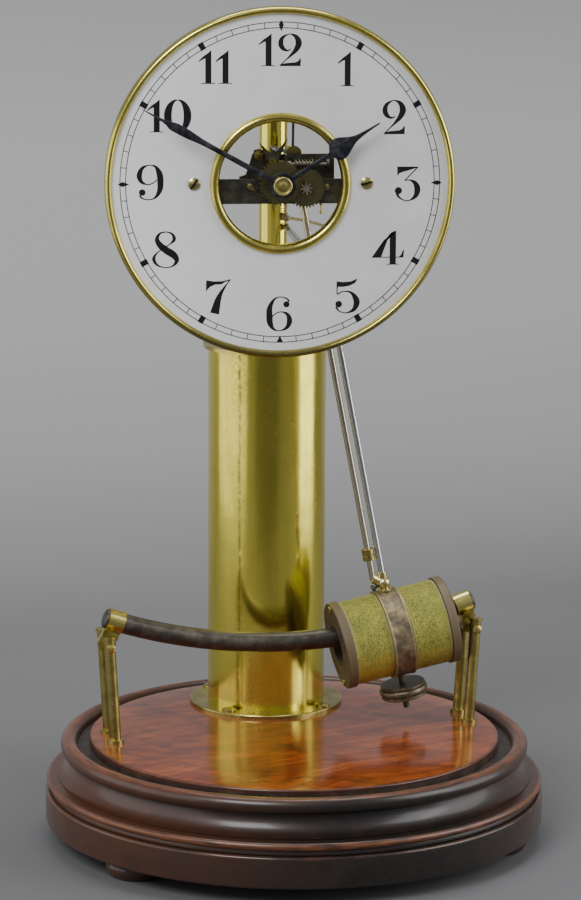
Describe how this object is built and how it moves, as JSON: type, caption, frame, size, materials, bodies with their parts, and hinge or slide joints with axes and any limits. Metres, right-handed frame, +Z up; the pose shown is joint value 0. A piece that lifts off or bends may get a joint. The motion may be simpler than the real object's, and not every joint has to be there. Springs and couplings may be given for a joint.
{
  "type": "electric pendulum clock",
  "caption": "Table clock with a battery column on a turned wooden base, a coil pendulum swinging on a curved bar magnet, and a silvered dial open in the middle.",
  "frame": {"origin": "centre of the round base on the table", "axes": "+Z up, the dial towards -Y, +X to the right as seen from the front; the head is turned about 7.7 degrees clockwise seen from above"},
  "size_m": [0.21, 0.21, 0.349],
  "materials": {
    "dark_wood": "dark stained, polished",
    "mahogany": "polished red-brown mahogany",
    "polished_brass": "lacquered, age spotted",
    "aged_brass": "tarnished",
    "movement_brass": "dull olive brass",
    "dark_steel": "blackened",
    "bright_steel": "polished",
    "blued_steel": "blued, dark",
    "magnet_iron": "dark oiled steel",
    "fibre": "red-brown vulcanised fibre",
    "silk": "green-yellow silk covered wire",
    "strap_metal": "brown patina",
    "silvered_dial": "silvered, fine brushed",
    "bezel_brass": "polished olive brass",
    "battery_case": "plain can",
    "insulator": "dull black",
    "braid": "yellow braided cotton",
    "spring_wire": "grey",
    "nut_bronze": "dark bronze",
    "silver_contact": "silver"
  },
  "bodies": {
    "clock": {"bun_feet": "dark_wood", "foot_screws": "aged_brass", "base_plinth": "dark_wood", "base_moulding": "mahogany", "base_screws": "aged_brass", "column_flange": "aged_brass", "flange_screws": "aged_brass", "column_tube": "polished_brass", "column_lid": "aged_brass", "battery_cell": "battery_case", "upper_column": "polished_brass", "upper_column_fittings": "aged_brass", "lead_bushing": "insulator", "braided_lead": "braid", "pigtail_coil": "spring_wire", "contact_spring": "spring_wire", "suspension_cock": "aged_brass", "suspension_pin": "bright_steel", "magnet_bar": "magnet_iron", "magnet_clamps": "aged_brass", "magnet_posts": "aged_brass", "cross_screws": "aged_brass", "post_spacers": "aged_brass", "movement_bracket": "dark_steel", "bracket_screws": "movement_brass", "back_plate": "dark_steel", "front_plate": "dark_steel", "plate_pillars": "movement_brass", "fork_cock": "movement_brass", "click_spring": "bright_steel", "dial_plate": "silvered_dial", "dial_bezel": "bezel_brass", "opening_ring": "bezel_brass", "dial_fixings": "movement_brass"},
    "pendulum": {"pendulum_hook": "dark_steel", "pendulum_block": "aged_brass", "contact_pin": "silver_contact", "left_rod": "bright_steel", "right_rod": "bright_steel", "rod_clamp": "aged_brass", "barrel_nut": "polished_brass", "rod_ball": "polished_brass", "ball_screw": "dark_steel", "coil_spool": "fibre", "coil_cheeks": "fibre", "cheek_screws": "movement_brass", "coil_strap": "strap_metal", "silk_cores": "silk", "winding_left": "silk", "winding_right": "silk", "rating_stem": "dark_steel"},
    "rating_nut": {"rating_nut": "nut_bronze"},
    "fork": {"contact_fork": "dark_steel"},
    "worm_shaft": {"ratchet_shaft": "bright_steel"},
    "drive_arbor": {"drive_arbor": "movement_brass"},
    "minute_hand": {"centre_arbor": "movement_brass", "minute_hand": "blued_steel"},
    "minute_wheel": {"minute_wheel": "movement_brass"},
    "hour_hand": {"hour_wheel": "movement_brass", "hour_hand": "blued_steel"}
  },
  "joints": [
    {"name": "pendulum_swing", "type": "hinge", "parent": "clock", "child": "pendulum", "pos_m": [0, 0.0078, 0.31], "axis": [0, 1, 0], "range_deg": [-0.55, 22.85], "deforming": ["contact_spring"]},
    {"name": "rating_nut_turn", "type": "hinge", "parent": "pendulum", "child": "rating_nut", "pos_m": [0.04981, 0.0078, 0.05726], "axis": [-0.1934, 0, 0.9811], "continuous": true},
    {"name": "fork_rock", "type": "hinge", "parent": "clock", "child": "fork", "pos_m": [-0.01012, 0.00128, 0.285], "axis": [0.134, 0.991, 0], "range_deg": [-10.4, 0.6]},
    {"name": "minute_turn", "type": "hinge", "parent": "clock", "child": "minute_hand", "pos_m": [-0.00988, -0.01187, 0.2775], "axis": [0.134, 0.991, 0], "continuous": true},
    {"name": "drive_turn", "type": "hinge", "parent": "clock", "child": "drive_arbor", "pos_m": [0.00119, -0.00833, 0.2754], "axis": [0.134, 0.991, 0], "continuous": true},
    {"name": "worm_turn", "type": "hinge", "parent": "clock", "child": "worm_shaft", "pos_m": [-0.00846, -0.00137, 0.284], "axis": [0.991, -0.134, 0], "continuous": true},
    {"name": "minute_wheel_turn", "type": "hinge", "parent": "clock", "child": "minute_wheel", "pos_m": [0.00079, -0.0113, 0.2754], "axis": [0.134, 0.991, 0], "continuous": true},
    {"name": "hour_turn", "type": "hinge", "parent": "clock", "child": "hour_hand", "pos_m": [-0.01028, -0.01485, 0.2775], "axis": [0.134, 0.991, 0], "continuous": true}
  ],
  "couplings": [
    {"joint": "fork_rock", "follows": "pendulum_swing", "ratio": -0.45},
    {"joint": "drive_turn", "follows": "minute_turn", "ratio": -4},
    {"joint": "worm_turn", "follows": "minute_turn", "ratio": 120},
    {"joint": "minute_wheel_turn", "follows": "minute_turn", "ratio": -0.33333},
    {"joint": "hour_turn", "follows": "minute_turn", "ratio": 0.083333}
  ]
}
